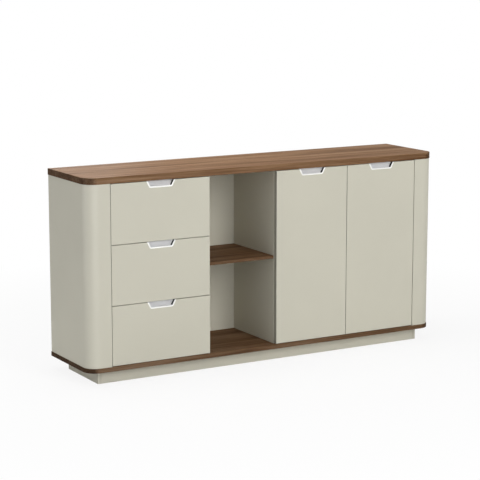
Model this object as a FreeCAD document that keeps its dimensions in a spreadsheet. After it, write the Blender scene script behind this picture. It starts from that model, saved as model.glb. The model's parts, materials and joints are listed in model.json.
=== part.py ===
"""Storage cabinet: three drawers, an open bay with a shelf and a pair of doors, on a set-back plinth.

Millimetres, +Z up. The origin is on the floor, at the middle of the footprint, and the front faces -Y.
"""
import FreeCAD, Part
import os

SIZES = {
    # Overall
    "width": 1600,
    "depth": 350,
    "height": 800,
    "corner_radius": 54,
    "reveal": 2,  # sides and fronts stand this far inside the edge of the top
    "edge_round": 1.5,
    # Boards
    "top_thickness": 25,
    "base_thickness": 18,
    "panel_thickness": 18,  # sides, inner panels and dividers
    "front_thickness": 18,  # posts, drawer fronts and doors
    "back_thickness": 6,
    "back_joint": 0.8,  # between two back panels
    "back_recess": 2,  # from the rear edges of the sides in to the back panels
    "post_width": 100,
    "batten_side": 30,
    # Bays and fronts
    "drawer_front_width": 424,
    "open_bay_width": 302,
    "front_gap": 2,
    "panel_margin": 1,  # an upright's outer face stands this far past the edge of its front
    "carcass_gap": 2,  # from the back of the fronts to the uprights
    # Shelves
    "open_shelf_thickness": 12,
    "open_shelf_top": 430,
    "door_shelf_thickness": 16,
    "door_shelf_top": 430,
    "shelf_setback": 25,
    "shelf_clearance": 0.5,
    "shelf_pin_diameter": 6,
    "shelf_pin_length": 9,
    "shelf_pin_inset": 45,
    # Plinth
    "plinth_height": 52,
    "plinth_thickness": 12,
    "plinth_joint": 1.5,  # from the ends of the front and rear boards to the side boards
    "plinth_front_recess": 40,
    "plinth_rear_recess": 40,
    "plinth_side_recess": 56,
    "corner_block_side": 30,
    # Edge pulls
    "pull_top_width": 124,
    "pull_base_width": 97,
    "pull_height": 26,
    "pull_rim": 5.5,
    "pull_lip": 1.2,
    "pull_wall": 1.2,
    "pull_flange": 1,
    "pull_depth": 15,
    # Drawer boxes
    "box_wall": 12,
    "box_height": 150,
    "box_rear_clearance": 22,  # from the back of a drawer box to the uprights' rear edges
    "box_rise": 25,
    "bottom_thickness": 5,
    "groove_depth": 5,
    "groove_rise": 10,
    # Three-section runners
    "runner_thickness": 12.7,
    "runner_height": 45,
    "runner_rear_clearance": 28,
    "runner_setback": 2,
    "runner_rise": 60,
    "member_thickness": 1.2,
    "ball_gap": 0.3,
    # Concealed hinges, measured from the door's outer edge and its back face
    "hinge_inset": 100,
    "cup_diameter": 35,
    "cup_depth": 12,
    "cup_wall": 0.8,
    "cup_centre_in": 22.5,
    "cup_wing_width": 15,
    "cup_wing_length": 52,
    "cup_wing_thickness": 1.5,
    "cup_pin_in": 9.6,
    "cup_pin_depth": 3.9,
    "arm_pin_in": 29.6,
    "arm_pin_back": 12.8,
    "arm_width": 8,
    "arm_length": 55,
    "arm_cheek": 1.8,
    "arm_slot_depth": 6,
    "link_width": 8,
    "link_thickness": 2.4,
    "link_eye_diameter": 5.2,
    "fork_clearance": 0.2,
    "hinge_pin_diameter": 3,
    "pin_clearance": 0.05,
    "plate_thickness": 2,
    "plate_height": 40,
    "plate_length": 40,
    "hinge_screw_diameter": 7,
    "hinge_screw_head": 1.5,
    "hinge_screw_spread": 26,
    # Small fittings
    "back_screw_diameter": 7,
    "back_screw_head": 1.4,
    "back_screw_inset": 45,
    "rail_height": 30,
    "rail_depth": 18,
    "bumper_diameter": 10,
    "bumper_thickness": 1.8,
    "bumper_inset": 40,
    "cover_diameter": 17,
    "cover_thickness": 1.2,
    "cover_inset": 50,
    "cover_rise": 35,
}
DRAWERS = ("bottom", "middle", "top")
BACK_SCREW_ROWS = 4
OVERCUT = 1  # a cutting tool runs this far past the face that it opens

# Planes of the cabinet, from front to back
FRONT = "(-dims.depth / 2)"
BACK = "(dims.depth / 2)"
FACE = f"({FRONT} + dims.reveal)"
FACE_BACK = f"({FACE} + dims.front_thickness)"
CARCASS = f"({FACE_BACK} + dims.carcass_gap)"
BACK_OUT = f"({BACK} - dims.back_recess)"
REAR = f"({BACK_OUT} - dims.back_thickness)"
# Planes from the floor up
DECK = "(dims.plinth_height + dims.base_thickness)"
CEILING = "(dims.height - dims.top_thickness)"
FRONTS_LOW = f"({DECK} + dims.front_gap)"
FRONTS_HIGH = f"({CEILING} - dims.front_gap)"
# Planes from left to right
LEFT = "(-dims.width / 2)"
RIGHT = "(dims.width / 2)"
SIDE_IN = f"({LEFT} + dims.reveal + dims.panel_thickness)"
POST_END = f"({LEFT} + dims.post_width)"
DRAWER_LEFT = f"({POST_END} + dims.front_gap)"
DRAWER_RIGHT = f"({DRAWER_LEFT} + dims.drawer_front_width)"
INNER_OUT = f"({DRAWER_LEFT} - dims.panel_margin)"
INNER_IN = f"({INNER_OUT} + dims.panel_thickness)"
OPEN_LEFT = f"({DRAWER_RIGHT} + dims.panel_margin)"
OPEN_RIGHT = f"({OPEN_LEFT} + dims.open_bay_width)"
DRAWER_BAY_RIGHT = f"({OPEN_LEFT} - dims.panel_thickness)"
DRAWER_BAY_MIDDLE = f"(({INNER_IN} + {DRAWER_BAY_RIGHT}) / 2)"
DOOR_BAY_LEFT = f"({OPEN_RIGHT} + dims.panel_thickness)"
DOOR_BAY_RIGHT = f"(-{INNER_IN})"
DOOR_LEFT = f"({OPEN_RIGHT} + dims.panel_margin)"
DOOR_MIDDLE = f"(({DOOR_LEFT} - {DRAWER_LEFT}) / 2)"
DOOR_FREE_EDGE = f"({DOOR_MIDDLE} - dims.front_gap / 2)"
LEFT_JOINT = f"(({DRAWER_BAY_RIGHT} + {OPEN_LEFT}) / 2)"  # where two back panels meet on a divider
RIGHT_JOINT = f"(({OPEN_RIGHT} + {DOOR_BAY_LEFT}) / 2)"

doc = FreeCAD.newDocument("storage_cabinet")
nodes = []


def add_sheet():
    """Put every driving dimension in one sheet, each under its own name."""
    sheet = doc.addObject("Spreadsheet::Sheet", "dims")
    for row, (alias, value) in enumerate(SIZES.items(), start=1):
        sheet.set(f"A{row}", alias)
        sheet.set(f"B{row}", str(value))
        sheet.setAlias(f"B{row}", alias)
    doc.recompute()


def node(solid):
    """Register a finished sub-part under its own name."""
    solid.Label = solid.Name
    nodes.append(solid)
    return solid


def bind(feature, **expressions):
    for name, expression in expressions.items():
        feature.setExpression(name, expression)


def place(feature, x, y, z):
    for axis, expression in zip("xyz", (x, y, z)):
        feature.setExpression(f"Placement.Base.{axis}", expression)


def box(name, x, y, z):
    """A square block between two planes each way."""
    block = doc.addObject("Part::Box", name)
    bind(block, Length=f"{x[1]} - {x[0]}", Width=f"{y[1]} - {y[0]}", Height=f"{z[1]} - {z[0]}")
    place(block, x[0], y[0], z[0])
    return block


def rod(name, axis, start, length, radius):
    """A round bar from its start point along an axis."""
    turns = {
        "x": FreeCAD.Rotation(FreeCAD.Vector(0, 1, 0), 90),
        "y": FreeCAD.Rotation(FreeCAD.Vector(1, 0, 0), -90),
        "z": FreeCAD.Rotation(),
    }
    bar = doc.addObject("Part::Cylinder", name)
    bar.Placement = FreeCAD.Placement(FreeCAD.Vector(), turns[axis])
    bind(bar, Radius=radius, Height=length)
    place(bar, *start)
    return bar


def fuse(name, shapes):
    joined = doc.addObject("Part::MultiFuse", name)
    joined.Shapes = shapes
    joined.Refine = True
    return joined


def cut(name, base, tool):
    rest = doc.addObject("Part::Cut", name)
    rest.Base = base
    rest.Tool = tool
    return rest


def group(name, shapes):
    """Several like solids under one name."""
    together = doc.addObject("Part::Compound", name)
    together.Links = shapes
    return together


def mirror(name, source, plane_x="0"):
    """The same piece on the other side of an upright plane."""
    image = doc.addObject("Part::Mirroring", name)
    image.Source = source
    image.Normal = FreeCAD.Vector(1, 0, 0)
    image.setExpression("Base.x", plane_x)
    return image


def around(centre, size):
    """The span of a size about a centre."""
    return f"({centre} - {size} / 2)", f"({centre} + {size} / 2)"


def board(name, x, y, z):
    """A body whose blank is a square block, ready for rounding and pockets."""
    body = doc.addObject("PartDesign::Body", name)
    blank = body.newObject("PartDesign::AdditiveBox", f"{name}_blank")
    bind(blank, Length=f"{x[1]} - {x[0]}", Width=f"{y[1]} - {y[0]}", Height=f"{z[1]} - {z[0]}")
    place(body, x[0], y[0], z[0])
    doc.recompute()
    return body


def round_edges(body, name, radius, wanted):
    """Round the edges of the body's last feature that the test picks out."""
    base = body.Tip
    edges = [f"Edge{i}" for i, edge in enumerate(base.Shape.Edges, start=1) if wanted(edge, base.Shape)]
    rounding = body.newObject("PartDesign::Fillet", f"{name}_{radius}")
    rounding.Base = (base, edges)
    rounding.setExpression("Radius", f"dims.{radius}")
    doc.recompute()


def is_upright_at_front(edge, shape):
    box_of_edge = edge.BoundBox
    return box_of_edge.ZLength > box_of_edge.XLength and box_of_edge.YMax < shape.BoundBox.Center.y


def is_level(edge, shape):
    at_back = edge.BoundBox.YMin > shape.BoundBox.YMax - Part.Precision.confusion() * 10
    return edge.BoundBox.ZLength < Part.Precision.confusion() * 10 and not at_back


def is_on_face(edge, shape):
    return edge.BoundBox.YMax < shape.BoundBox.YMin + Part.Precision.confusion() * 10


def slab(name, z):
    """The top or base: full width and depth, with rounded front corners and softened edges."""
    body = node(board(name, (LEFT, RIGHT), (FRONT, BACK), z))
    round_edges(body, name, "corner_radius", is_upright_at_front)
    round_edges(body, name, "edge_round", is_level)


def corner_post(name):
    """A quarter-round corner with a flat return beside the fronts."""
    corner = (f"({LEFT} + dims.corner_radius)", f"({FRONT} + dims.corner_radius)", DECK)
    height = f"{CEILING} - {DECK}"
    outer = rod(f"{name}_outside", "z", corner, height, "dims.corner_radius - dims.reveal")
    inner = rod(f"{name}_inside", "z", corner, height, "dims.corner_radius - dims.reveal - dims.front_thickness")
    for quarter in (outer, inner):
        quarter.Angle = 90
        quarter.Placement.Rotation = FreeCAD.Rotation(FreeCAD.Vector(0, 0, 1), 180)
    bend = cut(f"{name}_bend", outer, inner)
    flat = box(f"{name}_return", (corner[0], POST_END), (FACE, FACE_BACK), (DECK, CEILING))
    return node(fuse(name, [bend, flat]))


def carcass():
    height = (DECK, CEILING)
    uprights = (CARCASS, REAR)
    slab("top_panel", (CEILING, "dims.height"))
    slab("base_panel", ("dims.plinth_height", DECK))

    side_front = f"({FRONT} + dims.corner_radius)"
    side = node(box("left_side_panel", (f"({LEFT} + dims.reveal)", SIDE_IN), (side_front, BACK), height))
    node(mirror("right_side_panel", side))
    post = corner_post("left_corner_post")
    node(mirror("right_corner_post", post))
    inner = node(box("left_inner_panel", (INNER_OUT, INNER_IN), uprights, height))
    node(mirror("right_inner_panel", inner))
    batten_x = (f"({INNER_OUT} - dims.batten_side)", INNER_OUT)
    batten = box("left_batten", batten_x, (FACE_BACK, f"({FACE_BACK} + dims.batten_side)"), height)
    node(group("corner_battens", [batten, mirror("right_batten", batten)]))
    node(box("left_divider", (DRAWER_BAY_RIGHT, OPEN_LEFT), uprights, height))
    node(box("right_divider", (OPEN_RIGHT, DOOR_BAY_LEFT), uprights, height))

    backs = {
        "drawer_bay_back": (SIDE_IN, f"({LEFT_JOINT} - dims.back_joint / 2)"),
        "open_bay_back": (f"({LEFT_JOINT} + dims.back_joint / 2)", f"({RIGHT_JOINT} - dims.back_joint / 2)"),
        "door_bay_back": (f"({RIGHT_JOINT} + dims.back_joint / 2)", f"(-{SIDE_IN})"),
    }
    for name, span in backs.items():
        node(box(name, span, (REAR, BACK_OUT), height))

    rail_y = (CARCASS, f"({CARCASS} + dims.rail_depth)")
    rail_z = (f"({CEILING} - dims.rail_height)", CEILING)
    node(box("door_stop_rail", (DOOR_BAY_LEFT, DOOR_BAY_RIGHT), rail_y, rail_z))


def back_screws():
    """Heads of the screws that hold the back panels, staggered where two panels share a divider."""
    margin = "dims.panel_thickness / 4"
    outer_x = f"(({INNER_OUT} + {INNER_IN}) / 2)"
    full_rows = range(BACK_SCREW_ROWS)
    between = [row + 0.5 for row in full_rows[:-1]]
    columns = {
        "drawer_bay_left": (outer_x, full_rows),
        "drawer_bay_right": (f"({LEFT_JOINT} - {margin})", full_rows),
        "open_bay_left": (f"({LEFT_JOINT} + {margin})", between),
        "open_bay_right": (f"({RIGHT_JOINT} - {margin})", between),
        "door_bay_left": (f"({RIGHT_JOINT} + {margin})", full_rows),
        "door_bay_right": (f"(-{outer_x})", full_rows),
    }
    pitch = f"({CEILING} - {DECK} - 2 * dims.back_screw_inset) / {BACK_SCREW_ROWS - 1}"
    heads = []
    for column, (x, rows) in columns.items():
        for number, row in enumerate(rows, start=1):
            start = (x, BACK_OUT, f"({DECK} + dims.back_screw_inset + {row} * {pitch})")
            name = f"back_screw_{column}_{number}"
            heads.append(rod(name, "y", start, "dims.back_screw_head", "dims.back_screw_diameter / 2"))
    node(group("back_screws", heads))


def shelves():
    open_z = ("(dims.open_shelf_top - dims.open_shelf_thickness)", "dims.open_shelf_top")
    body = node(board("open_shelf", (OPEN_LEFT, OPEN_RIGHT), (CARCASS, REAR), open_z))
    round_edges(body, "open_shelf", "edge_round", is_on_face)

    underside = "(dims.door_shelf_top - dims.door_shelf_thickness)"
    shelf_x = (f"({DOOR_BAY_LEFT} + dims.shelf_clearance)", f"({DOOR_BAY_RIGHT} - dims.shelf_clearance)")
    shelf_y = (f"({CARCASS} + dims.shelf_setback)", f"({REAR} - dims.shelf_clearance)")
    node(box("door_bay_shelf", shelf_x, shelf_y, (underside, "dims.door_shelf_top")))

    pins = []
    pin_z = f"({underside} - dims.shelf_pin_diameter / 2)"
    rows = (f"({shelf_y[0]} + dims.shelf_pin_inset)", f"({shelf_y[1]} - dims.shelf_pin_inset)")
    for row, y in zip(("front", "rear"), rows):
        start = (DOOR_BAY_LEFT, y, pin_z)
        pin = rod(f"shelf_pin_{row}", "x", start, "dims.shelf_pin_length", "dims.shelf_pin_diameter / 2")
        pins += [pin, mirror(f"shelf_pin_{row}_right", pin, DOOR_MIDDLE)]
    node(group("shelf_pins", pins))


def plinth():
    height = ("0", "dims.plinth_height")
    outer = f"({LEFT} + dims.plinth_side_recess)"
    inner = f"({outer} + dims.plinth_thickness)"
    front = f"({FRONT} + dims.plinth_front_recess)"
    front_in = f"({front} + dims.plinth_thickness)"
    rear = f"({BACK} - dims.plinth_rear_recess)"
    rear_in = f"({rear} - dims.plinth_thickness)"

    side = box("plinth_left", (outer, inner), (front, rear), height)
    node(group("plinth_sides", [side, mirror("plinth_right", side)]))
    between = (f"({inner} + dims.plinth_joint)", f"-({inner} + dims.plinth_joint)")
    node(box("plinth_front", between, (front, front_in), height))
    node(box("plinth_rear", between, (rear_in, rear), height))

    braces = []
    for bay, x in (("left", DRAWER_BAY_RIGHT), ("right", OPEN_RIGHT)):
        span = (x, f"({x} + dims.plinth_thickness)")
        braces.append(box(f"plinth_brace_{bay}", span, (front_in, rear_in), height))
    node(group("plinth_braces", braces))

    blocks = []
    block_x = (inner, f"({inner} + dims.corner_block_side)")
    depths = {
        "front": (front_in, f"({front_in} + dims.corner_block_side)"),
        "rear": (f"({rear_in} - dims.corner_block_side)", rear_in),
    }
    for end, y in depths.items():
        block = box(f"plinth_block_{end}", block_x, y, height)
        blocks += [block, mirror(f"plinth_block_{end}_right", block)]
    node(group("plinth_corner_blocks", blocks))


def cam_covers():
    """Press-in caps over the fittings that hold the uprights to the top and base."""
    faces = {"drawer": (INNER_IN, DRAWER_BAY_MIDDLE), "door": (DOOR_BAY_LEFT, DOOR_MIDDLE)}
    rows = {"front": f"({CARCASS} + dims.cover_inset)", "rear": f"({REAR} - dims.cover_inset)"}
    levels = {"low": f"({DECK} + dims.cover_rise)", "high": f"({CEILING} - dims.cover_rise)"}
    covers = []
    for bay, (face, middle) in faces.items():
        for row, y in rows.items():
            for level, z in levels.items():
                name = f"{bay}_cover_{row}_{level}"
                cover = rod(name, "x", (face, y, z), "dims.cover_thickness", "dims.cover_diameter / 2")
                covers += [cover, mirror(f"{name}_right", cover, middle)]
    node(group("cam_covers", covers))


# Edge pulls: a trapezoid tray let into the top edge of a front, with a rim on its face
PULL_SLOPE = "((dims.pull_top_width - dims.pull_base_width) / 2 / dims.pull_height)"
PULL_CAVITY = "(dims.pull_rim - dims.pull_lip)"
PULL_TRAY = f"({PULL_CAVITY} - dims.pull_wall)"
PULL_OVER = f"(dims.pull_height + {OVERCUT})"


def half_width(height, inset):
    """Half the trapezoid's width at a height above its base, for an outline set in by an amount."""
    return f"(dims.pull_base_width / 2 + {PULL_SLOPE} * {height} - {inset} * sqrt(1 + {PULL_SLOPE}^2))"


def shape_trapezoid(wedge, low, high, inset, front, back):
    """Give a wedge the pull's outline, set in by an amount, between two heights and two depths."""
    base, top = half_width(low, inset), half_width(high, inset)
    wedge.Placement = FreeCAD.Placement(FreeCAD.Vector(), FreeCAD.Rotation(FreeCAD.Vector(1, 0, 0), 90))
    bind(wedge, Xmin=f"-{base}", Xmax=base, X2min=f"-{top}", X2max=top, Ymin=low, Ymax=high)
    bind(wedge, Zmin="0", Z2min="0", Zmax=f"{back} - {front}", Z2max=f"{back} - {front}")


def pull(name, middle, top):
    """The pull of a front whose middle and top edge are given."""
    floor = f"({top} - dims.pull_height)"
    proud = f"({FACE} - dims.pull_flange)"
    tray_back = f"({FACE} + dims.pull_depth)"
    outlines = {
        "flange": ("0", "dims.pull_height", "0", proud, FACE),
        "tray": (PULL_TRAY, "dims.pull_height", PULL_TRAY, FACE, tray_back),
        "mouth": ("dims.pull_rim", PULL_OVER, "dims.pull_rim", f"({proud} - {OVERCUT})", FACE),
        "cavity": (PULL_CAVITY, PULL_OVER, PULL_CAVITY, FACE, f"({tray_back} - dims.pull_wall)"),
    }
    pieces = {}
    for piece, outline in outlines.items():
        wedge = doc.addObject("Part::Wedge", f"{name}_{piece}")
        shape_trapezoid(wedge, *outline)
        place(wedge, middle, outline[-1], floor)
        pieces[piece] = wedge
    solid = fuse(f"{name}_solid", [pieces["flange"], pieces["tray"]])
    hollow = fuse(f"{name}_hollow", [pieces["mouth"], pieces["cavity"]])
    return node(cut(name, solid, hollow))


def front_board(name, x, z):
    """A drawer front or door: softened edges and the pocket for its pull."""
    body = node(board(name, x, (FACE, FACE_BACK), z))
    round_edges(body, name, "edge_round", is_on_face)
    pocket = body.newObject("PartDesign::SubtractiveWedge", f"{name}_pocket")
    shape_trapezoid(pocket, PULL_TRAY, PULL_OVER, PULL_TRAY, f"({FACE} - {OVERCUT})", f"({FACE} + dims.pull_depth)")
    place(pocket, f"({x[1]} - {x[0]}) / 2", "dims.pull_depth", f"{z[1]} - {z[0]} - dims.pull_height")
    doc.recompute()
    return body


def drawer_box(name, low):
    """Two sides, two ends between them and a bottom held in a groove all round."""
    x = (f"({INNER_IN} + dims.runner_thickness)", f"({DRAWER_BAY_RIGHT} - dims.runner_thickness)")
    y = (FACE_BACK, f"({REAR} - dims.box_rear_clearance)")
    z = (f"({low} + dims.box_rise)", f"({low} + dims.box_rise + dims.box_height)")
    inside_x = (f"({x[0]} + dims.box_wall)", f"({x[1]} - dims.box_wall)")
    inside_y = (f"({y[0]} + dims.box_wall)", f"({y[1]} - dims.box_wall)")
    bottom_z = (f"({z[0]} + dims.groove_rise)", f"({z[0]} + dims.groove_rise + dims.bottom_thickness)")
    bottom_x = (f"({inside_x[0]} - dims.groove_depth)", f"({inside_x[1]} + dims.groove_depth)")
    bottom_y = (f"({inside_y[0]} - dims.groove_depth)", f"({inside_y[1]} + dims.groove_depth)")

    bottom = node(box(f"{name}_bottom", bottom_x, bottom_y, bottom_z))
    side = box(f"{name}_side_blank", (x[0], inside_x[0]), y, z)
    sides = group(f"{name}_sides_blank", [side, mirror(f"{name}_side_right", side, DRAWER_BAY_MIDDLE)])
    node(cut(f"{name}_box_sides", sides, bottom))
    front = box(f"{name}_end_front", inside_x, (y[0], inside_y[0]), z)
    back = box(f"{name}_end_back", inside_x, (inside_y[1], y[1]), z)
    node(cut(f"{name}_box_ends", group(f"{name}_ends_blank", [front, back]), bottom))


def runner_member(name, web, lips, half_height, middle):
    """A pair of facing channels: a web and two lips, placed by their distance from the upright."""
    y = (f"({CARCASS} + dims.runner_setback)", f"({REAR} - dims.runner_rear_clearance)")
    web_x = tuple(f"({INNER_IN} + {distance})" for distance in web)
    lip_x = tuple(f"({INNER_IN} + {distance})" for distance in lips)
    high, low = f"({middle} + {half_height})", f"({middle} - {half_height})"
    channel = fuse(f"{name}_left", [
        box(f"{name}_web", web_x, y, (low, high)),
        box(f"{name}_upper_lip", lip_x, y, (f"({high} - dims.member_thickness)", high)),
        box(f"{name}_lower_lip", lip_x, y, (low, f"({low} + dims.member_thickness)")),
    ])
    return group(name, [channel, mirror(f"{name}_right", channel, DRAWER_BAY_MIDDLE)])


def runners(name, low):
    """The three nested members of a drawer's runners; returns the pair fixed to the carcass."""
    nest = "(dims.member_thickness + dims.ball_gap)"
    thick = "dims.runner_thickness"
    middle = f"({low} + dims.box_rise + dims.runner_rise)"
    half = "dims.runner_height / 2"
    outer = runner_member(
        f"{name}_runner_outer", ("0", "dims.member_thickness"), ("0", f"({thick} - 2 * {nest})"), half, middle)
    node(runner_member(
        f"{name}_runner_middle", (nest, f"({nest} + dims.member_thickness)"), (nest, f"({thick} - {nest})"),
        f"({half} - {nest})", middle))
    node(runner_member(
        f"{name}_runner_inner", (f"({thick} - dims.member_thickness)", thick), (f"(2 * {nest})", thick),
        f"({half} - 2 * {nest})", middle))
    return outer


def drawers():
    count = len(DRAWERS)
    height = f"(({FRONTS_HIGH} - {FRONTS_LOW} - {count - 1} * dims.front_gap) / {count})"
    fixed_members = []
    for level, position in enumerate(DRAWERS):
        name = f"{position}_drawer"
        low = f"({FRONTS_LOW} + {level} * ({height} + dims.front_gap))"
        high = f"({low} + {height})"
        front_board(f"{name}_front", (DRAWER_LEFT, DRAWER_RIGHT), (low, high))
        pull(f"{name}_pull", f"(({DRAWER_LEFT} + {DRAWER_RIGHT}) / 2)", high)
        drawer_box(name, low)
        fixed_members.append(runners(name, low))
    node(group("runner_outer_members", fixed_members))


# Hinges of the left door; those of the right door are their mirror image
HINGE_LEVELS = {"low": f"({FRONTS_LOW} + dims.hinge_inset)", "high": f"({FRONTS_HIGH} - dims.hinge_inset)"}
CUP_PIN = (f"({DOOR_LEFT} + dims.cup_pin_in)", f"({FACE_BACK} - dims.cup_pin_depth)")
ARM_PIN = (f"({DOOR_LEFT} + dims.arm_pin_in)", f"({FACE_BACK} + dims.arm_pin_back)")
CUP_CENTRE_X = f"({DOOR_LEFT} + dims.cup_centre_in)"
CUP_FLOOR = f"({FACE_BACK} - dims.cup_depth)"
FORK_GAP = "(dims.link_width + 2 * dims.fork_clearance)"
ARM_HEIGHT = f"({FORK_GAP} + 2 * dims.arm_cheek)"
PLATE_FRONT = f"({ARM_PIN[1]} + dims.arm_length - dims.plate_length)"


def upright_rod(name, centre, level, length, diameter):
    """A round bar along Z, centred on a level."""
    return rod(name, "z", (*centre, f"({level} - {length} / 2)"), length, f"{diameter} / 2")


def hinge_cup(name, level):
    """A pressed cup with two screw wings and the pin that its link turns on."""
    centre = (CUP_CENTRE_X, CUP_FLOOR, level)
    wall = "dims.cup_wall"
    shell = rod(f"{name}_shell", "y", centre, "dims.cup_depth", "dims.cup_diameter / 2")
    wing_y = (FACE_BACK, f"({FACE_BACK} + dims.cup_wing_thickness)")
    wings = box(
        f"{name}_wings", around(CUP_CENTRE_X, "dims.cup_wing_width"), wing_y, around(level, "dims.cup_wing_length"))
    hollow_start = (CUP_CENTRE_X, f"({CUP_FLOOR} + {wall})", level)
    hollow_radius = f"dims.cup_diameter / 2 - {wall}"
    hollow = rod(f"{name}_hollow", "y", hollow_start, "dims.cup_depth + dims.cup_wing_thickness", hollow_radius)
    pressing = cut(f"{name}_pressing", fuse(f"{name}_blank", [shell, wings]), hollow)
    offset = "(dims.cup_centre_in - dims.cup_pin_in + dims.hinge_pin_diameter / 2)"
    pin_length = f"(2 * sqrt((dims.cup_diameter / 2)^2 - {offset}^2) - {wall} / 2)"
    pin = upright_rod(f"{name}_pin", CUP_PIN, level, pin_length, "dims.hinge_pin_diameter")
    return fuse(name, [pressing, pin])


def hinge_link(name, level):
    """A half-ring bar that joins the arm's pin to the cup's pin round the door's edge."""
    middle = tuple(f"(({a} + {b}) / 2)" for a, b in zip(ARM_PIN, CUP_PIN))
    across, along = f"({CUP_PIN[0]} - {ARM_PIN[0]})", f"({CUP_PIN[1]} - {ARM_PIN[1]})"
    radius = f"(sqrt({across}^2 + {along}^2) / 2)"
    start = (*middle, f"({level} - dims.link_width / 2)")
    halves = []
    for part, sign in (("outside", "+"), ("inside", "-")):
        half = rod(f"{name}_{part}", "z", start, "dims.link_width", f"{radius} {sign} dims.link_thickness / 2")
        half.Angle = 180
        half.setExpression("Placement.Rotation.Angle", f"atan2({along}; {across})")
        halves.append(half)
    pieces = [cut(f"{name}_ring", *halves)]
    holes = []
    bore = "(dims.hinge_pin_diameter + 2 * dims.pin_clearance)"
    for end, pin in (("arm", ARM_PIN), ("cup", CUP_PIN)):
        pieces.append(upright_rod(f"{name}_{end}_eye", pin, level, "dims.link_width", "dims.link_eye_diameter"))
        holes.append(upright_rod(f"{name}_{end}_bore", pin, level, f"(2 * dims.link_width)", bore))
    return cut(name, fuse(f"{name}_blank", pieces), group(f"{name}_bores", holes))


def hinge_arm(name, level):
    """A bar on the mounting plate whose forked nose carries the link's pin."""
    x = around(ARM_PIN[0], "dims.arm_width")
    bar = box(f"{name}_bar", x, (ARM_PIN[1], f"({ARM_PIN[1]} + dims.arm_length)"), around(level, ARM_HEIGHT))
    nose = upright_rod(f"{name}_nose", ARM_PIN, level, ARM_HEIGHT, "dims.arm_width")
    slot_y = (f"({ARM_PIN[1]} - dims.arm_width)", f"({ARM_PIN[1]} + dims.arm_slot_depth)")
    slot_x = around(ARM_PIN[0], "2 * dims.arm_width")
    slot = box(f"{name}_slot", slot_x, slot_y, around(level, FORK_GAP))
    pin = upright_rod(f"{name}_pin", ARM_PIN, level, ARM_HEIGHT, "dims.hinge_pin_diameter")
    return fuse(name, [cut(f"{name}_fork", fuse(f"{name}_blank", [bar, nose]), slot), pin])


def hinge_plate(name, level):
    """A screw plate on the upright with the block that the arm sits on."""
    y = (PLATE_FRONT, f"({PLATE_FRONT} + dims.plate_length)")
    plate_in = f"({DOOR_BAY_LEFT} + dims.plate_thickness)"
    plate = box(f"{name}_base", (DOOR_BAY_LEFT, plate_in), y, around(level, "dims.plate_height"))
    block = box(f"{name}_block", (plate_in, around(ARM_PIN[0], "dims.arm_width")[0]), y, around(level, ARM_HEIGHT))
    return fuse(name, [plate, block])


def hinge_screws(name, level):
    x = f"({DOOR_BAY_LEFT} + dims.plate_thickness)"
    y = f"({PLATE_FRONT} + dims.plate_length / 2)"
    screws = []
    for end, z in zip(("low", "high"), around(level, "dims.hinge_screw_spread")):
        head = rod(f"{name}_{end}", "x", (x, y, z), "dims.hinge_screw_head", "dims.hinge_screw_diameter / 2")
        screws.append(head)
    return group(name, screws)


def both_levels(name, make):
    """The same hinge piece at the door's two hinges."""
    return group(name, [make(f"{name}_{level}", z) for level, z in HINGE_LEVELS.items()])


def doors():
    x, z = (DOOR_LEFT, DOOR_FREE_EDGE), (FRONTS_LOW, FRONTS_HIGH)
    panel = front_board("left_door_panel", x, z)
    for level in HINGE_LEVELS:
        bore = panel.newObject("PartDesign::SubtractiveCylinder", f"left_door_bore_{level}")
        bore.Placement.Rotation = FreeCAD.Rotation(FreeCAD.Vector(1, 0, 0), -90)
        bind(bore, Radius="dims.cup_diameter / 2", Height=f"dims.cup_depth + {OVERCUT}")
        place(bore, "dims.cup_centre_in", "dims.front_thickness - dims.cup_depth", f"{HINGE_LEVELS[level]} - {z[0]}")
        doc.recompute()

    bumper_start = (f"({DOOR_FREE_EDGE} - dims.bumper_inset)", FACE_BACK, f"({CEILING} - dims.rail_height / 2)")
    pieces = {
        "pull": pull("left_door_pull", f"(({DOOR_LEFT} + {DOOR_FREE_EDGE}) / 2)", FRONTS_HIGH),
        "hinge_cups": node(both_levels("left_door_hinge_cups", hinge_cup)),
        "hinge_links": node(both_levels("left_door_hinge_links", hinge_link)),
        "bumper": node(rod(
            "left_door_bumper", "y", bumper_start, "dims.bumper_thickness", "dims.bumper_diameter / 2")),
        "panel": panel,
    }
    for piece, source in pieces.items():
        node(mirror(f"right_door_{piece}", source, DOOR_MIDDLE))

    for name, make in (("arms", hinge_arm), ("plates", hinge_plate), ("screws", hinge_screws)):
        left = both_levels(f"left_hinge_{name}", make)
        node(group(f"hinge_{name}", [left, mirror(f"right_hinge_{name}", left, DOOR_MIDDLE)]))


def check_document():
    """Stop if any feature failed or any sub-part is empty or faulty."""
    for feature in doc.Objects:
        if "Invalid" in feature.State or "Error" in feature.State:
            raise RuntimeError(f"{feature.Name} failed: {feature.State}")
    for solid in nodes:
        if solid.Shape.isNull() or not solid.Shape.isValid() or not solid.Shape.Solids:
            raise RuntimeError(f"{solid.Label} has no valid solid")


def export_nodes():
    os.makedirs("parts", exist_ok=True)
    for solid in nodes:
        solid.Shape.exportStep(f"parts/{solid.Label}.step")
        print(f"{solid.Label}: {len(solid.Shape.Solids)} solid(s), {solid.Shape.Volume / 1000:.1f} cm3")
    print(f"{len(nodes)} nodes")


add_sheet()
carcass()
back_screws()
shelves()
plinth()
cam_covers()
drawers()
doors()
doc.recompute()
check_document()
export_nodes()
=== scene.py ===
"""Looks of the storage cabinet: finishes, detailed pulls and fittings, studio light and camera."""

import json
import math

import bmesh
import bpy
from mathutils import Matrix, Vector

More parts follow.
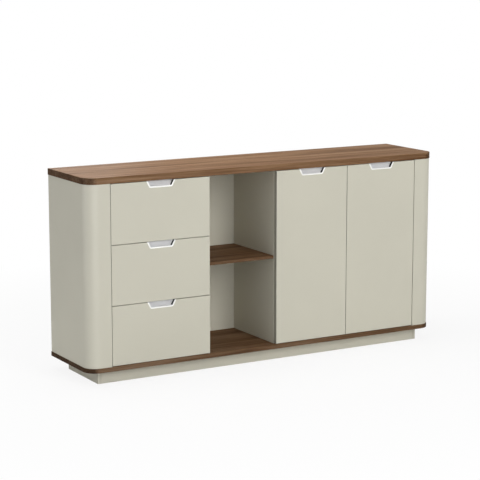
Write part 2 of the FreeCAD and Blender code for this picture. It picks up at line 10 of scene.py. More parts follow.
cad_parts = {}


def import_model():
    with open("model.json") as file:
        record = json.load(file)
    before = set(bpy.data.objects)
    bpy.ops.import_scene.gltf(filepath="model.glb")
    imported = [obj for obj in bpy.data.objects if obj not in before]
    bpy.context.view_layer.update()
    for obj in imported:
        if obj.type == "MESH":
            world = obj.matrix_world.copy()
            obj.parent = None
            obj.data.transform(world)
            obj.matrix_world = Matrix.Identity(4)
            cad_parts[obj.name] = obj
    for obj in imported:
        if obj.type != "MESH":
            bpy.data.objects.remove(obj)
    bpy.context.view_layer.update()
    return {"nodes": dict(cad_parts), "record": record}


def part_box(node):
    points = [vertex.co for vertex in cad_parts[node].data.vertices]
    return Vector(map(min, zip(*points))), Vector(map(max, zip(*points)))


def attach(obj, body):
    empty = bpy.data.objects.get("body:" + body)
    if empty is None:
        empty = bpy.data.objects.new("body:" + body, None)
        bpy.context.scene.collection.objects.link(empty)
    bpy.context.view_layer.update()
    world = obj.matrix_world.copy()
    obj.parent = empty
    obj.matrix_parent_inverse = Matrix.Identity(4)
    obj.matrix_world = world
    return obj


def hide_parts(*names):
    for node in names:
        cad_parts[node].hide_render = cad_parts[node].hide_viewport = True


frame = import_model()
NODES = frame["nodes"]
SLOTS = {part["node"]: part["material_slot"] for part in frame["record"]["subparts"]}
BODY_OF = {node: body for body, nodes in frame["record"]["behaviour"]["bodies"].items() for node in nodes}
MM = 0.001


# Colours
def srgb(red, green, blue):
    """A colour given in 0 to 255 display values, as a linear colour."""
    def linear(value):
        value /= 255
        return value / 12.92 if value <= 0.04045 else ((value + 0.055) / 1.055) ** 2.4
    return linear(red), linear(green), linear(blue), 1.0


def grey(value):
    """A grey given as a linear value."""
    return value, value, value, 1.0


def shade(colour, share):
    """A darker or lighter share of a colour."""
    return tuple(channel * share for channel in colour[:3]) + (1.0,)


PAINT = srgb(200, 197, 182)
WALNUT_DARK = srgb(98, 68, 44)
WALNUT_MIDDLE = srgb(138, 104, 74)
WALNUT_LIGHT = srgb(164, 132, 102)
WALNUT_TOP_EDGE = (0.86, 0.89, 0.94, 1.0)  # edges and ends take these shares of the colour
# the lower boards' edges take a larger share, which undoes part of their painted shade
WALNUT_LOW_EDGE = (0.84, 0.88, 0.95, 1.0)
WALNUT_END = (0.42, 0.40, 0.38, 1.0)
PINE_DARK = srgb(176, 138, 92)
PINE_MIDDLE = srgb(206, 172, 124)
PINE_LIGHT = srgb(220, 190, 146)
BOX_BOARD = srgb(214, 211, 202)
ALUMINIUM = srgb(243, 243, 240)
# painted shade: the tray is the rim's aluminium made darker, for the shade inside the recess
TRAY_ALUMINIUM_SHADED = srgb(213, 213, 214)
# painted shade: a dark colour on the tray's ends, which stands in for the shade there
PULL_END_SHADE = srgb(62, 62, 64)
ZINC = srgb(196, 200, 204)
NICKEL = srgb(205, 200, 192)
COVER_PLASTIC = srgb(196, 193, 180)
RUBBER = srgb(210, 210, 206)
PAPER = grey(0.93)
WHITE = grey(1.0)

# Shader building
RISE = (0.0, 1.0)
FALL = (1.0, 0.0)
NOISE_RANGE = (0.3, 0.7)  # most values of a noise lie here
EDGE_RANGE = (0.75, 1.0)  # cosine between the rounded and the true normal
EDGE_SAMPLES = 4
MIX_FACTOR, MIX_FIRST, MIX_SECOND, MIX_RESULT = 0, 6, 7, 2  # sockets of a colour mix


class Shader:
    """A material made of nodes, with short calls to add and join them."""

    def __init__(self, name):
        self.material = bpy.data.materials.new(name)
        self.material.use_nodes = True
        self.tree = self.material.node_tree
        self.tree.nodes.clear()
        coordinates = self.add("ShaderNodeTexCoord")
        self.place = coordinates.outputs["Object"]
        self.normal = coordinates.outputs["Normal"]

    def fill(self, socket, value):
        """Join a socket to another node's output, or set its own value."""
        if isinstance(value, bpy.types.NodeSocket):
            self.tree.links.new(value, socket)
        else:
            socket.default_value = value

    def add(self, kind, inputs=None, **settings):
        """Add a node, with its settings and its inputs by name or number."""
        node = self.tree.nodes.new(kind)
        for name, value in settings.items():
            setattr(node, name, value)
        for name, value in (inputs or {}).items():
            self.fill(node.inputs[name], value)
        return node

    def noise(self, grain, detail=4, roughness=0.55, distortion=0.0, start=(0.0, 0.0, 0.0)):
        """Noise with its grain per metre along each axis, from a starting point of the pattern."""
        mapping = {"Vector": self.place, "Scale": grain, "Location": start}
        place = self.add("ShaderNodeMapping", mapping).outputs["Vector"]
        inputs = {"Vector": place, "Scale": 1.0, "Detail": detail, "Roughness": roughness,
                  "Distortion": distortion}
        return self.add("ShaderNodeTexNoise", inputs).outputs["Fac"]

    def ramp(self, value, stops):
        """Colours at places along a value."""
        node = self.add("ShaderNodeValToRGB", {"Fac": value})
        elements = node.color_ramp.elements
        while len(elements) < len(stops):
            elements.new(0.5)
        for element, (position, colour) in zip(elements, stops):
            element.position = position
            element.color = colour
        return node.outputs["Color"]

    def span(self, value, limits, source=NOISE_RANGE):
        """A value within a source range, moved between other limits."""
        inputs = {"Value": value, "From Min": source[0], "From Max": source[1],
                  "To Min": limits[0], "To Max": limits[1]}
        return self.add("ShaderNodeMapRange", inputs).outputs["Result"]

    def math(self, operation, *values):
        """A sum, product or other operation on values."""
        return self.add("ShaderNodeMath", dict(enumerate(values)), operation=operation).outputs[0]

    def mix(self, first, second, factor, blend="MIX"):
        """Two colours mixed by a factor."""
        inputs = {MIX_FACTOR: factor, MIX_FIRST: first, MIX_SECOND: second}
        return self.add("ShaderNodeMix", inputs, data_type="RGBA", blend_type=blend).outputs[MIX_RESULT]

    def facing(self, axis):
        """How far the surface faces along an axis of the piece, either way."""
        along = self.add("ShaderNodeSeparateXYZ", {"Vector": self.normal}).outputs[axis]
        return self.math("ABSOLUTE", along)

    def soft_edge(self, radius):
        """The normal with edges rounded off, and how near an edge the surface is."""
        rounded = self.add("ShaderNodeBevel", {"Radius": radius}, samples=EDGE_SAMPLES).outputs["Normal"]
        true = self.add("ShaderNodeNewGeometry").outputs["True Normal"]
        normals = {0: rounded, 1: true}
        along = self.add("ShaderNodeVectorMath", normals, operation="DOT_PRODUCT").outputs["Value"]
        return rounded, self.span(along, FALL, EDGE_RANGE)

    def bump(self, height, relief, normal=None):
        """The normal with a relief, given as a strength and a depth."""
        strength, depth = relief
        inputs = {"Height": height, "Strength": strength, "Distance": depth}
        if normal:
            inputs["Normal"] = normal
        return self.add("ShaderNodeBump", inputs).outputs["Normal"]

    def finish(self, inputs):
        """Close the material with a surface that has these inputs."""
        surface = self.add("ShaderNodeBsdfPrincipled", inputs)
        self.add("ShaderNodeOutputMaterial", {"Surface": surface.outputs["BSDF"]})
        return self.material


# Paint
PAINT_CLOUD = (2.5, 2.5, 2.5)
PAINT_PEEL = (420, 420, 420)
PAINT_EDGE = 1.0 * MM
PAINT_RUBBED = (0.2, 0.6)
PAINT_CLOUD_SHADE = 0.955
PAINT_RUBBED_SHADE = 1.12
PAINT_ROUGHNESS = (0.5, 0.58)
PAINT_RELIEF = (0.05, 0.2 * MM)
PAINT_SPECULAR = 0.12
FRONT_GAP_SHADE = 0.6  # share of the colour on the narrow sides of the fronts, painted shade for the gaps between them


def paint(name, colour, gap_shade=1.0):
    """Matte sprayed paint: a faint orange-peel surface, slight clouding of the colour and rubbed edges.

    The narrow sides of a front can take a darker share of the colour, as painted shade in the gaps between
    the fronts.
    """
    shader = Shader(name)
    cloud = shader.noise(PAINT_CLOUD, detail=3)
    peel = shader.noise(PAINT_PEEL, detail=2)
    rounded, edge = shader.soft_edge(PAINT_EDGE)
    rubbed = shader.math("MULTIPLY", edge, shader.span(peel, PAINT_RUBBED))
    tone = shader.mix(shade(colour, PAINT_CLOUD_SHADE), colour, shader.span(cloud, RISE))
    tone = shader.mix(tone, shade(colour, PAINT_RUBBED_SHADE), rubbed)
    # painted shade: the narrow sides of a front, which face the gaps between fronts, take a darker share of
    # its colour
    if gap_shade < 1.0:
        tone = shader.mix(tone, shade(colour, gap_shade), shader.span(shader.facing("Y"), FALL))
    return shader.finish({
        "Base Color": tone,
        "Roughness": shader.span(peel, PAINT_ROUGHNESS),
        "Normal": shader.bump(peel, PAINT_RELIEF, rounded),
        "Specular IOR Level": PAINT_SPECULAR,
    })


# Walnut
WALNUT_BANDS = (0.9, 20, 20)
WALNUT_STREAKS = (2.4, 110, 110)
WALNUT_FIBRES = (7, 420, 420)
WALNUT_PORES = (16, 800, 800)
WALNUT_FIGURE_PLACE = (18.5, 1.6, 7.1)
WALNUT_BAND_SHARE = 0.40
WALNUT_STREAK_SHARE = 0.36
WALNUT_FIBRE_SHARE = 0.24
WALNUT_STOPS = (0.39, 0.50, 0.60)  # of the dark, middle and light colours
WALNUT_PORE_SHARE = (0.45, 0.0)
WALNUT_PORE_RANGE = (0.32, 0.45)
WALNUT_EDGE_RANGE = (0.3, 0.9)  # how far a surface faces up where its edge colour ends
WALNUT_END_RANGE = (0.13, 0.49)  # how far a surface faces sideways where its end colour starts
WALNUT_SOFT_EDGE = 1.2 * MM
WALNUT_RUBBED = 0.25
WALNUT_ROUGHNESS = (0.62, 0.5)
WALNUT_PORE_DEPTH = 0.6
WALNUT_RELIEF = (0.15, 0.3 * MM)
WALNUT_SPECULAR = 0.02
WALNUT_LOW_SHADE = 0.64  # share of the colour on the boards below the top, painted shade for the shade under the top and in the open bay


def walnut(name, edge, share=1.0):
    """Matte walnut veneer with its grain along the cabinet's width, darker on its banded edges and ends; a
    share below one darkens it all as painted shade.
    """
    shader = Shader(name)
    bands = shader.noise(WALNUT_BANDS, detail=4, distortion=0.5, start=WALNUT_FIGURE_PLACE)
    streaks = shader.noise(WALNUT_STREAKS, detail=5, roughness=0.62, start=WALNUT_FIGURE_PLACE)
    fibres = shader.noise(WALNUT_FIBRES, detail=3, roughness=0.6)
    pores = shader.noise(WALNUT_PORES, detail=2)
    rounded, rubbed = shader.soft_edge(WALNUT_SOFT_EDGE)
    figure = shader.math("MULTIPLY", fibres, WALNUT_FIBRE_SHARE)
    figure = shader.math("MULTIPLY_ADD", streaks, WALNUT_STREAK_SHARE, figure)
    figure = shader.math("MULTIPLY_ADD", bands, WALNUT_BAND_SHARE, figure)
    # painted shade: a share below one darkens all the wood colours
    dark, middle, light = (shade(colour, share) for colour in (WALNUT_DARK, WALNUT_MIDDLE, WALNUT_LIGHT))
    tone = shader.ramp(figure, list(zip(WALNUT_STOPS, (dark, middle, light))))
    tone = shader.mix(tone, dark, shader.span(pores, WALNUT_PORE_SHARE, WALNUT_PORE_RANGE))
    banded = shader.span(shader.facing("Z"), FALL, WALNUT_EDGE_RANGE)
    tone = shader.mix(tone, edge, banded, "MULTIPLY")
    end = shader.span(shader.facing("X"), RISE, WALNUT_END_RANGE)
    tone = shader.mix(tone, WALNUT_END, end, "MULTIPLY")
    tone = shader.mix(tone, light, shader.math("MULTIPLY", rubbed, WALNUT_RUBBED))
    relief = shader.math("MULTIPLY_ADD", pores, WALNUT_PORE_DEPTH, fibres)
    return shader.finish({
        "Base Color": tone,
        "Roughness": shader.span(streaks, WALNUT_ROUGHNESS),
        "Normal": shader.bump(relief, WALNUT_RELIEF, rounded),
        "Specular IOR Level": WALNUT_SPECULAR,
    })


# Softwood
PINE_RINGS = (18, 18, 1.2)
PINE_FIBRES = (260, 260, 8)
PINE_STOPS = (0.38, 0.52, 0.66)  # of the dark, middle and light colours
PINE_ROUGHNESS = (0.6, 0.75)
PINE_RELIEF = (0.2, 0.4 * MM)


def softwood(name):
    """Sawn softwood with its grain upright."""
    shader = Shader(name)
    rings = shader.noise(PINE_RINGS, distortion=0.4)
    fibre = shader.noise(PINE_FIBRES, detail=2)
    return shader.finish({
        "Base Color": shader.ramp(rings, list(zip(PINE_STOPS, (PINE_DARK, PINE_MIDDLE, PINE_LIGHT)))),
        "Roughness": shader.span(fibre, PINE_ROUGHNESS),
        "Normal": shader.bump(fibre, PINE_RELIEF),
    })


# Melamine
MELAMINE_WEAVE = (700, 240, 240)
MELAMINE_CLOUD = (5, 5, 5)
MELAMINE_CLOUD_SHADE = 0.93
MELAMINE_ROUGHNESS = (0.42, 0.55)
MELAMINE_RELIEF = (0.08, 0.2 * MM)


def melamine(name, colour):
    """Pale drawer board with a fine pressed linen texture."""
    shader = Shader(name)
    weave = shader.noise(MELAMINE_WEAVE, detail=2)
    cloud = shader.noise(MELAMINE_CLOUD, detail=3)
    return shader.finish({
        "Base Color": shader.mix(shade(colour, MELAMINE_CLOUD_SHADE), colour, shader.span(cloud, RISE)),
        "Roughness": shader.span(weave, MELAMINE_ROUGHNESS),
        "Normal": shader.bump(weave, MELAMINE_RELIEF),
    })


# Metal
METAL_LINES = 900
METAL_CLOUD = (30, 30, 30)
METAL_CLOUD_SHADE = 0.9
METAL_CLOUD_SHARE = (0.2, 1.0)
METAL_UNEVENNESS = 0.04
METAL_RELIEF = (0.02, 0.1 * MM)
LINES_EVERY_WAY = (1, 1, 1)
LINES_ALONG_X = (0.05, 1, 1)
LINES_ALONG_Y = (1, 0.03, 1)


def metal(name, colour, roughness, metallic=1.0, along=LINES_EVERY_WAY, specular=0.5):
    """Worked metal: fine lines along one direction and a slightly uneven polish."""
    shader = Shader(name)
    lines = shader.noise(tuple(axis * METAL_LINES for axis in along), detail=2)
    cloud = shader.noise(METAL_CLOUD, detail=3)
    tone = shader.mix(shade(colour, METAL_CLOUD_SHADE), colour, shader.span(cloud, METAL_CLOUD_SHARE))
    return shader.finish({
        "Base Color": tone,
        "Metallic": metallic,
        "Roughness": shader.span(lines, (roughness - METAL_UNEVENNESS, roughness + METAL_UNEVENNESS)),
        "Normal": shader.bump(lines, METAL_RELIEF),
        "Specular IOR Level": specular,
    })


# Plastic and rubber
MOULDED_GRAIN = (600, 600, 600)
MOULDED_GRAIN_SHADE = 0.9
MOULDED_UNEVENNESS = 0.06
MOULDED_RELIEF = (0.15, 0.2 * MM)


def moulded(name, colour, roughness, specular=0.5):
    """Moulded plastic or rubber with a fine grain."""
    shader = Shader(name)
    grain = shader.noise(MOULDED_GRAIN, detail=2)
    return shader.finish({
        "Base Color": shader.mix(shade(colour, MOULDED_GRAIN_SHADE), colour, shader.span(grain, RISE)),
        "Roughness": shader.span(grain, (roughness - MOULDED_UNEVENNESS, roughness + MOULDED_UNEVENNESS)),
        "Normal": shader.bump(grain, MOULDED_RELIEF),
        "Specular IOR Level": specular,
    })


# Finishes of the material slots
FINISHES = {
    "walnut": walnut("walnut_veneer", WALNUT_TOP_EDGE),
    "paint": paint("warm_grey_paint", PAINT),
    "timber": softwood("sawn_softwood"),
    "box_board": melamine("drawer_melamine", BOX_BOARD),
    "pull_aluminium": metal("satin_aluminium", ALUMINIUM, roughness=0.5, metallic=0.1,
                            along=LINES_ALONG_X, specular=0.2),
    "runner_steel": metal("zinc_steel", ZINC, roughness=0.3, along=LINES_ALONG_Y),
    "hinge_nickel": metal("nickel_steel", NICKEL, roughness=0.22),
    "cover_plastic": moulded("cover_plastic", COVER_PLASTIC, roughness=0.5),
    "bumper_rubber": moulded("bumper_rubber", RUBBER, roughness=0.55),
}

# the boards below the top, a darker copy of the walnut as painted shade
SHADED_LOW_WALNUT = walnut("walnut_veneer_low_shaded", WALNUT_LOW_EDGE, WALNUT_LOW_SHADE)
LOW_BOARDS = ("base_panel", "open_shelf", "door_bay_shelf")
# fronts with painted shade on their narrow sides, in the gaps between them
FRONT_PAINT = paint("warm_grey_front", PAINT, FRONT_GAP_SHADE)
FRONT_NAMES = ("_drawer_front", "_door_panel")
# the tray in a darker aluminium, painted shade for the recess
TRAY_SHADED_FINISH = metal("satin_aluminium_tray", TRAY_ALUMINIUM_SHADED, roughness=0.6, metallic=0.0,
                    along=LINES_ALONG_X, specular=0.08)
# the tray's ends in a dark colour, painted shade in the recess
PULL_END_SHADE_FINISH = moulded("dark_pull_end", PULL_END_SHADE, roughness=0.7, specular=0.05)


def dress_nodes():
    """Give every solid its slot's finish, with painted shade on the lower walnut boards and on the narrow
    sides of the fronts.
    """
    for node, slot in SLOTS.items():
        finish = FINISHES[slot]
        if node in LOW_BOARDS:
            finish = SHADED_LOW_WALNUT
        if node.endswith(FRONT_NAMES):
            finish = FRONT_PAINT
        mesh = NODES[node].data
        mesh.materials.clear()
        mesh.materials.append(finish)


# Pieces
SHARP_ANGLE = math.radians(35)
WELD = 0.01 * MM
PLACE_DIGITS = 5
UP = Vector((0, 0, 1))
ROUND_SIDES = 24
SCREW_HEAD = [(1.0, 0.0), (1.0, 0.35), (0.93, 0.65), (0.78, 0.88), (0.62, 1.0)]  # radii and heights
SOCKET_ARM = 0.46  # the cross-shaped socket's length and width, from the middle, in radii of the head
SOCKET_HALF = 0.11
SOCKET_TAPER = 0.8
SOCKET_FLOOR = 0.4  # in heights of the head


def new_piece(name, bm, body, slot, replaced=()):
    """Turn built geometry into a smooth piece that rides on a body and takes a slot's finish."""
    bmesh.ops.recalc_face_normals(bm, faces=bm.faces)
    mesh = bpy.data.meshes.new(name)
    bm.to_mesh(mesh)
    bm.free()
    mesh.materials.append(FINISHES[slot])
    mesh.polygons.foreach_set("use_smooth", [True] * len(mesh.polygons))
    mesh.set_sharp_from_angle(angle=SHARP_ANGLE)
    piece = bpy.data.objects.new(name, mesh)
    bpy.context.scene.collection.objects.link(piece)
    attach(piece, body)
    if replaced:
        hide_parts(*replaced)
    return piece


def solid_boxes(node):
    """The lowest and highest corner of each separate solid of a node, in order."""
    bm = bmesh.new()
    bm.from_mesh(NODES[node].data)
    bmesh.ops.remove_doubles(bm, verts=bm.verts, dist=WELD)
    waiting = set(bm.verts)
    boxes = []
    while waiting:
        found = set()
        border = {waiting.pop()}
        while border:
            found |= border
            border = {edge.other_vert(vert) for vert in border for edge in vert.link_edges} - found
        waiting -= found
        low, high = ([pick(vert.co[i] for vert in found) for i in range(3)] for pick in (min, max))
        boxes.append((Vector(low), Vector(high)))
    bm.free()
    return sorted(boxes, key=lambda box: [round(value, PLACE_DIGITS) for value in box[0]])


def turned(bm, base, axis, radius, height, profile):
    """Foot and sides of a turned shape along an axis, with a profile in shares of its radius and height.

    Gives the open rim at its end, and the move from the shape's own axes.
    """
    move = Matrix.Translation(base) @ UP.rotation_difference(Vector(axis)).to_matrix().to_4x4()
    angles = [math.tau * i / ROUND_SIDES for i in range(ROUND_SIDES)]
    rings = []
    for radius_share, height_share in profile:
        reach, rise = radius_share * radius, height_share * height
        points = [move @ Vector((reach * math.cos(a), reach * math.sin(a), rise)) for a in angles]
        rings.append([bm.verts.new(point) for point in points])
    for low, high in zip(rings, rings[1:]):
        for i in range(ROUND_SIDES):
            j = (i + 1) % ROUND_SIDES
            bm.faces.new((low[i], low[j], high[j], high[i]))
    bm.faces.new(rings[0])
    return rings[-1], move


def plain_head(bm, base, axis, radius, height, profile):
    """A turned shape with a flat end."""
    rim, _ = turned(bm, base, axis, radius, height, profile)
    bm.faces.new(rim)


def cross_head(bm, base, axis, radius, height):
    """A low domed screw head with a cross-shaped socket."""
    rim, move = turned(bm, base, axis, radius, height, SCREW_HEAD)
    arm, half = SOCKET_ARM * radius, SOCKET_HALF * radius
    corners = [(half, half), (half, arm), (-half, arm), (-half, half), (-arm, half), (-arm, -half),
               (-half, -half), (-half, -arm), (half, -arm), (half, -half), (arm, -half), (arm, half)]
    mouth = [bm.verts.new(move @ Vector((x, y, height))) for x, y in corners]
    foot = [bm.verts.new(move @ Vector((SOCKET_TAPER * x, SOCKET_TAPER * y, SOCKET_FLOOR * height)))
            for x, y in corners]
    edges = []
    for loop in (rim, mouth):
        for first, second in zip(loop, loop[1:] + loop[:1]):
            edges.append(bm.edges.get((first, second)) or bm.edges.new((first, second)))
    bmesh.ops.triangle_fill(bm, use_beauty=True, edges=edges)
    for i in range(len(corners)):
        j = (i + 1) % len(corners)
        bm.faces.new((mouth[i], mouth[j], foot[j], foot[i]))
    bm.faces.new(foot)


# Edge pulls
PULL_RIM = 5.5 * MM
PULL_LIP = 1.2 * MM
PULL_WALL = 1.2 * MM
PULL_FLANGE = 1.0 * MM
PULL_BASE_SHARE = 97 / 124  # width at the base, as a share of that at the top
PULL_CORNER = 7.5 * MM
PULL_LEAST_CORNER = 0.6 * MM
PULL_SOFT = 0.35 * MM
PULL_FILLET = 1.5 * MM
PULL_ROUND = 0.3  # how far in the middle of a rounded corner lies, in its radii
CORNER_STEPS = 8
FACE_ROOM = 0.1 * MM  # what lies further back than the face by this belongs to the tray
TRAY_INDEX, END_INDEX = 1, 2
END_SLOPE = 0.6  # faces of the tray that look sideways by more than this are its ends, which take a dark colour as painted shade


def rounded_path(points, radius):
    """A path through points whose inner corners are arcs."""
    path = [points[0]]
    for before, corner, after in zip(points, points[1:], points[2:]):
        to_before = (before - corner).normalized()
        to_after = (after - corner).normalized()
        half = to_before.angle(to_after) / 2
        reach = radius / math.tan(half)
        centre = corner + (to_before + to_after).normalized() * (radius / math.sin(half))
        start = corner + to_before * reach - centre
        end = corner + to_after * reach - centre
        for step in range(CORNER_STEPS + 1):
            path.append(centre + start.lerp(end, step / CORNER_STEPS).normalized() * radius)
    path.append(points[-1])
    return path


def pull_outline(low, high, inset):
    """The pull's open outline, set in by an amount, from its left top round to its right top (x and z)."""
    middle = (low.x + high.x) / 2
    top_half = (high.x - low.x) / 2
    base_half = top_half * PULL_BASE_SHARE
    slope = (top_half - base_half) / (high.z - low.z)
    side = inset * math.sqrt(1 + slope ** 2)
    bottom_half = base_half + slope * inset - side
    points = [
        Vector((middle - top_half + side, high.z)),
        Vector((middle - bottom_half, low.z + inset)),
        Vector((middle + bottom_half, low.z + inset)),
        Vector((middle + top_half - side, high.z)),
    ]
    return rounded_path(points, max(PULL_CORNER - inset, PULL_LEAST_CORNER))


def edge_pull(node):
    """A satin tray with a rounded rim and an undercut lip, closed behind and open at its top."""
    low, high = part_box(node)
    front, back = low.y, high.y
    face = front + PULL_FLANGE
    cavity = PULL_RIM - PULL_LIP
    tray = cavity - PULL_WALL
    floor_depth = back - PULL_WALL
    soft, soft_middle = PULL_SOFT, PULL_SOFT * PULL_ROUND
    fillet, fillet_middle = PULL_FILLET, PULL_FILLET * PULL_ROUND
    inside = [
        (0.0, face), (0.0, front + soft), (soft_middle, front + soft_middle), (soft, front),
        (PULL_RIM - soft, front), (PULL_RIM - soft_middle, front + soft_middle), (PULL_RIM, front + soft),
        (PULL_RIM, face), (cavity, face + soft), (cavity, floor_depth - fillet),
        (cavity + fillet_middle, floor_depth - fillet_middle), (cavity + fillet, floor_depth),
    ]
    outside = [(tray, face), (tray, back)]
    bm = bmesh.new()
    rings = []
    for inset, depth in inside[::-1] + outside:
        rings.append([bm.verts.new((p.x, depth, p.y)) for p in pull_outline(low, high, inset)])
    for first, second in zip(rings, rings[1:]):
        for i in range(len(first) - 1):
            bm.faces.new((first[i], first[i + 1], second[i + 1], second[i]))
    bm.faces.new(rings[0])
    bm.faces.new(rings[-1])
    for end in (0, -1):
        bm.faces.new([ring[end] for ring in rings])
    bm.faces.new((rings[0][0], rings[0][-1], rings[-1][-1], rings[-1][0]))
    piece = new_piece(f"{node}_tray", bm, BODY_OF[node], SLOTS[node], [node])
    piece.data.materials.append(TRAY_SHADED_FINISH)
    piece.data.materials.append(PULL_END_SHADE_FINISH)
    for polygon in piece.data.polygons:
        # faces behind the face take the darker tray aluminium as painted shade
        if polygon.center.y > face + FACE_ROOM:
            # the tray's ends take the dark colour as painted shade
            polygon.material_index = END_INDEX if abs(polygon.normal.x) > END_SLOPE else TRAY_INDEX


def pulls():
    """An edge pull for every drawer and door."""
    for node in NODES:
        if node.endswith("_pull"):
            edge_pull(node)


# Small fittings, with profiles in shares of their radius and height
CAP = [(1.0, 0.0), (1.0, 0.5), (0.95, 0.85), (0.86, 1.0), (0.34, 1.0), (0.26, 0.72)]
DOME = [(1.0, 0.0), (1.0, 0.3), (0.92, 0.62), (0.75, 0.84), (0.5, 0.95), (0.22, 1.0)]
PIN = [(1.0, 0.0), (1.0, 0.18), (0.86, 0.22), (0.86, 0.3), (1.0, 0.34), (1.0, 0.86), (0.8, 1.0)]
RIGHTWARD = Vector((1, 0, 0))
LEFTWARD = Vector((-1, 0, 0))
REARWARD = Vector((0, 1, 0))
BAY_MIDDLES = (-486 * MM, 364 * MM)  # across the drawer bay and the door bay
FRONT_SCREW = (4.5 * MM, 2.0 * MM)  # radius and height of the head
FRONT_SCREW_INSET = 38 * MM
CUP_SCREW = (3.2 * MM, 1.1 * MM)
CUP_SCREW_INSET = 4.3 * MM
ARM_SCREW = (2.7 * MM, 1.0 * MM)
ARM_SCREW_PLACES = (0.55, 0.82)  # shares of the arm's length


def into_bay(box):
    """The direction from a bay's side wall into the bay."""
    low, high = box
    x = (low.x + high.x) / 2
    middle = min(BAY_MIDDLES, key=lambda place: abs(place - x))
    return RIGHTWARD if x < middle else LEFTWARD


def rearward(box):
    """The direction of fittings that all point to the rear."""
    return REARWARD


def stand_on(box, axis):
    """The foot, radius and height of a round solid that stands along an axis."""
    low, high = box
    index = max(range(3), key=lambda i: abs(axis[i]))
    foot = (low + high) / 2
    foot[index] = low[index] if axis[index] > 0 else high[index]
    across = (index + 1) % 3
    return foot, (high[across] - low[across]) / 2, high[index] - low[index]


def fittings():
    """Screws, which have no profile here, and caps, bumpers and shelf pins in place of plain round solids."""
    kinds = {
        "back_screws": (rearward, None),
        "hinge_screws": (into_bay, None),
        "cam_covers": (into_bay, CAP),
        "shelf_pins": (into_bay, PIN),
        "left_door_bumper": (rearward, DOME),
        "right_door_bumper": (rearward, DOME),
    }
    for node, (direction, profile) in kinds.items():
        bm = bmesh.new()
        for box in solid_boxes(node):
            axis = direction(box)
            foot, radius, height = stand_on(box, axis)
            if profile:
                plain_head(bm, foot, axis, radius, height, profile)
            else:
                cross_head(bm, foot, axis, radius, height)
        new_piece(f"{node}_detail", bm, BODY_OF[node], SLOTS[node], [node])


def drawer_front_screws(drawer):
    """Screws that hold a drawer's front, seen inside its box."""
    low, high = min(solid_boxes(f"{drawer}_box_ends"), key=lambda box: box[0].y)
    bm = bmesh.new()
    for x in (low.x + FRONT_SCREW_INSET, high.x - FRONT_SCREW_INSET):
        for z in (low.z + FRONT_SCREW_INSET, high.z - FRONT_SCREW_INSET):
            cross_head(bm, Vector((x, high.y, z)), REARWARD, *FRONT_SCREW)
    new_piece(f"{drawer}_front_screws", bm, drawer, "runner_steel")


def cup_screws(door):
    """Screws through the wings of a door's hinge cups."""
    bm = bmesh.new()
    for low, high in solid_boxes(f"{door}_hinge_cups"):
        x = (low.x + high.x) / 2
        for z in (low.z + CUP_SCREW_INSET, high.z - CUP_SCREW_INSET):
            cross_head(bm, Vector((x, high.y, z)), REARWARD, *CUP_SCREW)
    new_piece(f"{door}_cup_screws", bm, door, "hinge_nickel")


def arm_screws():
    """Adjusting screws on the hinge arms."""
    bm = bmesh.new()
    for low, high in solid_boxes("hinge_arms"):
        axis = into_bay((low, high))
        face = high.x if axis.x > 0 else low.x
        for share in ARM_SCREW_PLACES:
            place = Vector((face, low.y + share * (high.y - low.y), (low.z + high.z) / 2))
            cross_head(bm, place, axis, *ARM_SCREW)
    new_piece("hinge_arm_screws", bm, "cabinet", "hinge_nickel")


# Studio, in metres and degrees
CAMERA_PLACE = (-3.385, -5.772, 1.668)
CAMERA_TURN = -30.106
CAMERA_DIP = 10.130
CAMERA_LENS = 125.52  # in millimetres, as is the sensor
CAMERA_SENSOR = 36
CAMERA_REACH = 100
FLOOR_REACH = 30
SHADOW_SHARE = 0.13  # of the shadow that the floor keeps near the cabinet
SHADOW_NEAR = 0.8
SHADOW_FAR = 2.2
AMBIENT_LEFT = 0.72
AMBIENT_RIGHT = 0.14


def seen_directly(tree):
    """One for rays from the camera and for reflections, else zero."""
    rays = tree.nodes.new("ShaderNodeLightPath")
    seen = tree.nodes.new("ShaderNodeMath")
    seen.operation = "MAXIMUM"
    tree.links.new(rays.outputs["Is Camera Ray"], seen.inputs[0])
    tree.links.new(rays.outputs["Is Glossy Ray"], seen.inputs[1])
    return seen.outputs[0]


def studio_paper():
    """Pale ground that is white to the camera and keeps part of the shadow close to the cabinet."""
    shader = Shader("studio_paper")
    away = shader.add("ShaderNodeVectorMath", {0: shader.place}, operation="LENGTH").outputs["Value"]
    glow = shader.span(away, (1 - SHADOW_SHARE, 1.0), (SHADOW_NEAR, SHADOW_FAR))
    share = shader.math("MULTIPLY", glow, seen_directly(shader.tree))
    paper = shader.add("ShaderNodeBsdfDiffuse", {"Color": PAPER}).outputs[0]
    white = shader.add("ShaderNodeEmission", {"Color": WHITE}).outputs[0]
    blend = shader.add("ShaderNodeMixShader", {0: share, 1: paper, 2: white}).outputs[0]
    shader.add("ShaderNodeOutputMaterial", {"Surface": blend})
    return shader.material


def floor():
    """A wide sheet of studio paper under the cabinet."""
    mesh = bpy.data.meshes.new("studio_floor")
    corners = [(x * FLOOR_REACH, y * FLOOR_REACH, 0) for x, y in ((-1, -1), (1, -1), (1, 1), (-1, 1))]
    mesh.from_pydata(corners, [], [(0, 1, 2, 3)])
    mesh.materials.append(studio_paper())
    ground = bpy.data.objects.new("studio_floor", mesh)
    bpy.context.scene.collection.objects.link(ground)


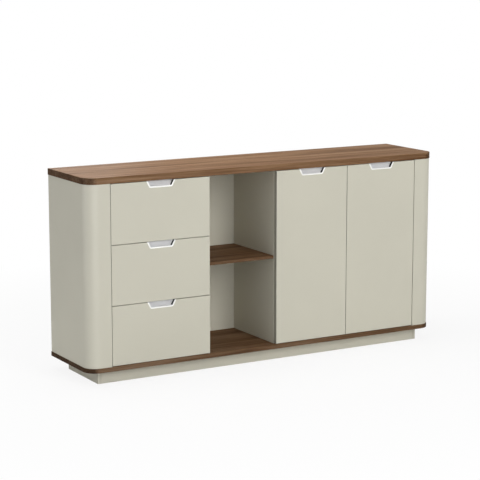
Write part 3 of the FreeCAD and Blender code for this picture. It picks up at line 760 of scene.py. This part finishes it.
def world():
    """Soft light from all round, weaker from the right, seen as white by the camera and in reflections."""
    surroundings = bpy.data.worlds.new("studio")
    bpy.context.scene.world = surroundings
    surroundings.use_nodes = True
    tree = surroundings.node_tree
    background = tree.nodes["Background"]
    background.inputs["Color"].default_value = WHITE
    direction = tree.nodes.new("ShaderNodeSeparateXYZ")
    tree.links.new(tree.nodes.new("ShaderNodeTexCoord").outputs["Generated"], direction.inputs[0])
    ambient = tree.nodes.new("ShaderNodeMapRange")
    for name, value in (("From Min", -1.0), ("To Min", AMBIENT_LEFT), ("To Max", AMBIENT_RIGHT)):
        ambient.inputs[name].default_value = value
    tree.links.new(direction.outputs["X"], ambient.inputs["Value"])
    level = tree.nodes.new("ShaderNodeMapRange")
    level.inputs["To Max"].default_value = 1.0
    tree.links.new(ambient.outputs["Result"], level.inputs["To Min"])
    tree.links.new(seen_directly(tree), level.inputs["Value"])
    tree.links.new(level.outputs["Result"], background.inputs["Strength"])


def softbox(name, place, target, size, power, glossy_only=False):
    """A soft lamp, or a card that shows only in gloss."""
    light = bpy.data.lights.new(name, "AREA")
    light.shape = "RECTANGLE"
    light.size, light.size_y = size
    light.energy = power
    lamp = bpy.data.objects.new(name, light)
    lamp.location = place
    lamp.visible_camera = False
    lamp.visible_diffuse = not glossy_only
    lamp.rotation_euler = (Vector(target) - Vector(place)).to_track_quat("-Z", "Y").to_euler()
    bpy.context.scene.collection.objects.link(lamp)


def lamps():
    """The key light and a lamp over the top, and cards for the sheen of the corner, the side and the top."""
    softbox("key", place=(0.65, -5.2, 2.6), target=(0, 0, 0.4), size=(1.6, 3.2), power=142)
    softbox("overhead", place=(-0.6, 0.25, 2.4), target=(-0.45, 0.1, 0.0), size=(0.9, 1.1), power=17)
    softbox("card", place=(-1.55, -3.0, 0.8), target=(-0.7, -0.1, 0.4), size=(1.2, 2.0), power=400,
            glossy_only=True)
    softbox("side_card", place=(-3.8, 0.3, 0.8), target=(-0.8, -0.1, 0.4), size=(0.8, 2.0), power=250,
            glossy_only=True)
    softbox("sheen", place=(0.4, 2.9, 1.3), target=(-0.6, 0, 0.8), size=(0.9, 0.7), power=12,
            glossy_only=True)


def camera():
    """The camera, tilted down to the cabinet from its front left."""
    data = bpy.data.cameras.new("camera")
    data.lens = CAMERA_LENS
    data.sensor_width = CAMERA_SENSOR
    data.clip_end = CAMERA_REACH
    eye = bpy.data.objects.new("camera", data)
    eye.location = CAMERA_PLACE
    eye.rotation_euler = (math.radians(90 - CAMERA_DIP), 0, math.radians(CAMERA_TURN))
    bpy.context.scene.collection.objects.link(eye)
    bpy.context.scene.camera = eye


dress_nodes()
pulls()
fittings()
for position in ("bottom", "middle", "top"):
    drawer_front_screws(f"{position}_drawer")
for side in ("left", "right"):
    cup_screws(f"{side}_door")
arm_screws()

floor()
world()
lamps()
camera()
bpy.context.scene.view_settings.view_transform = "Standard"
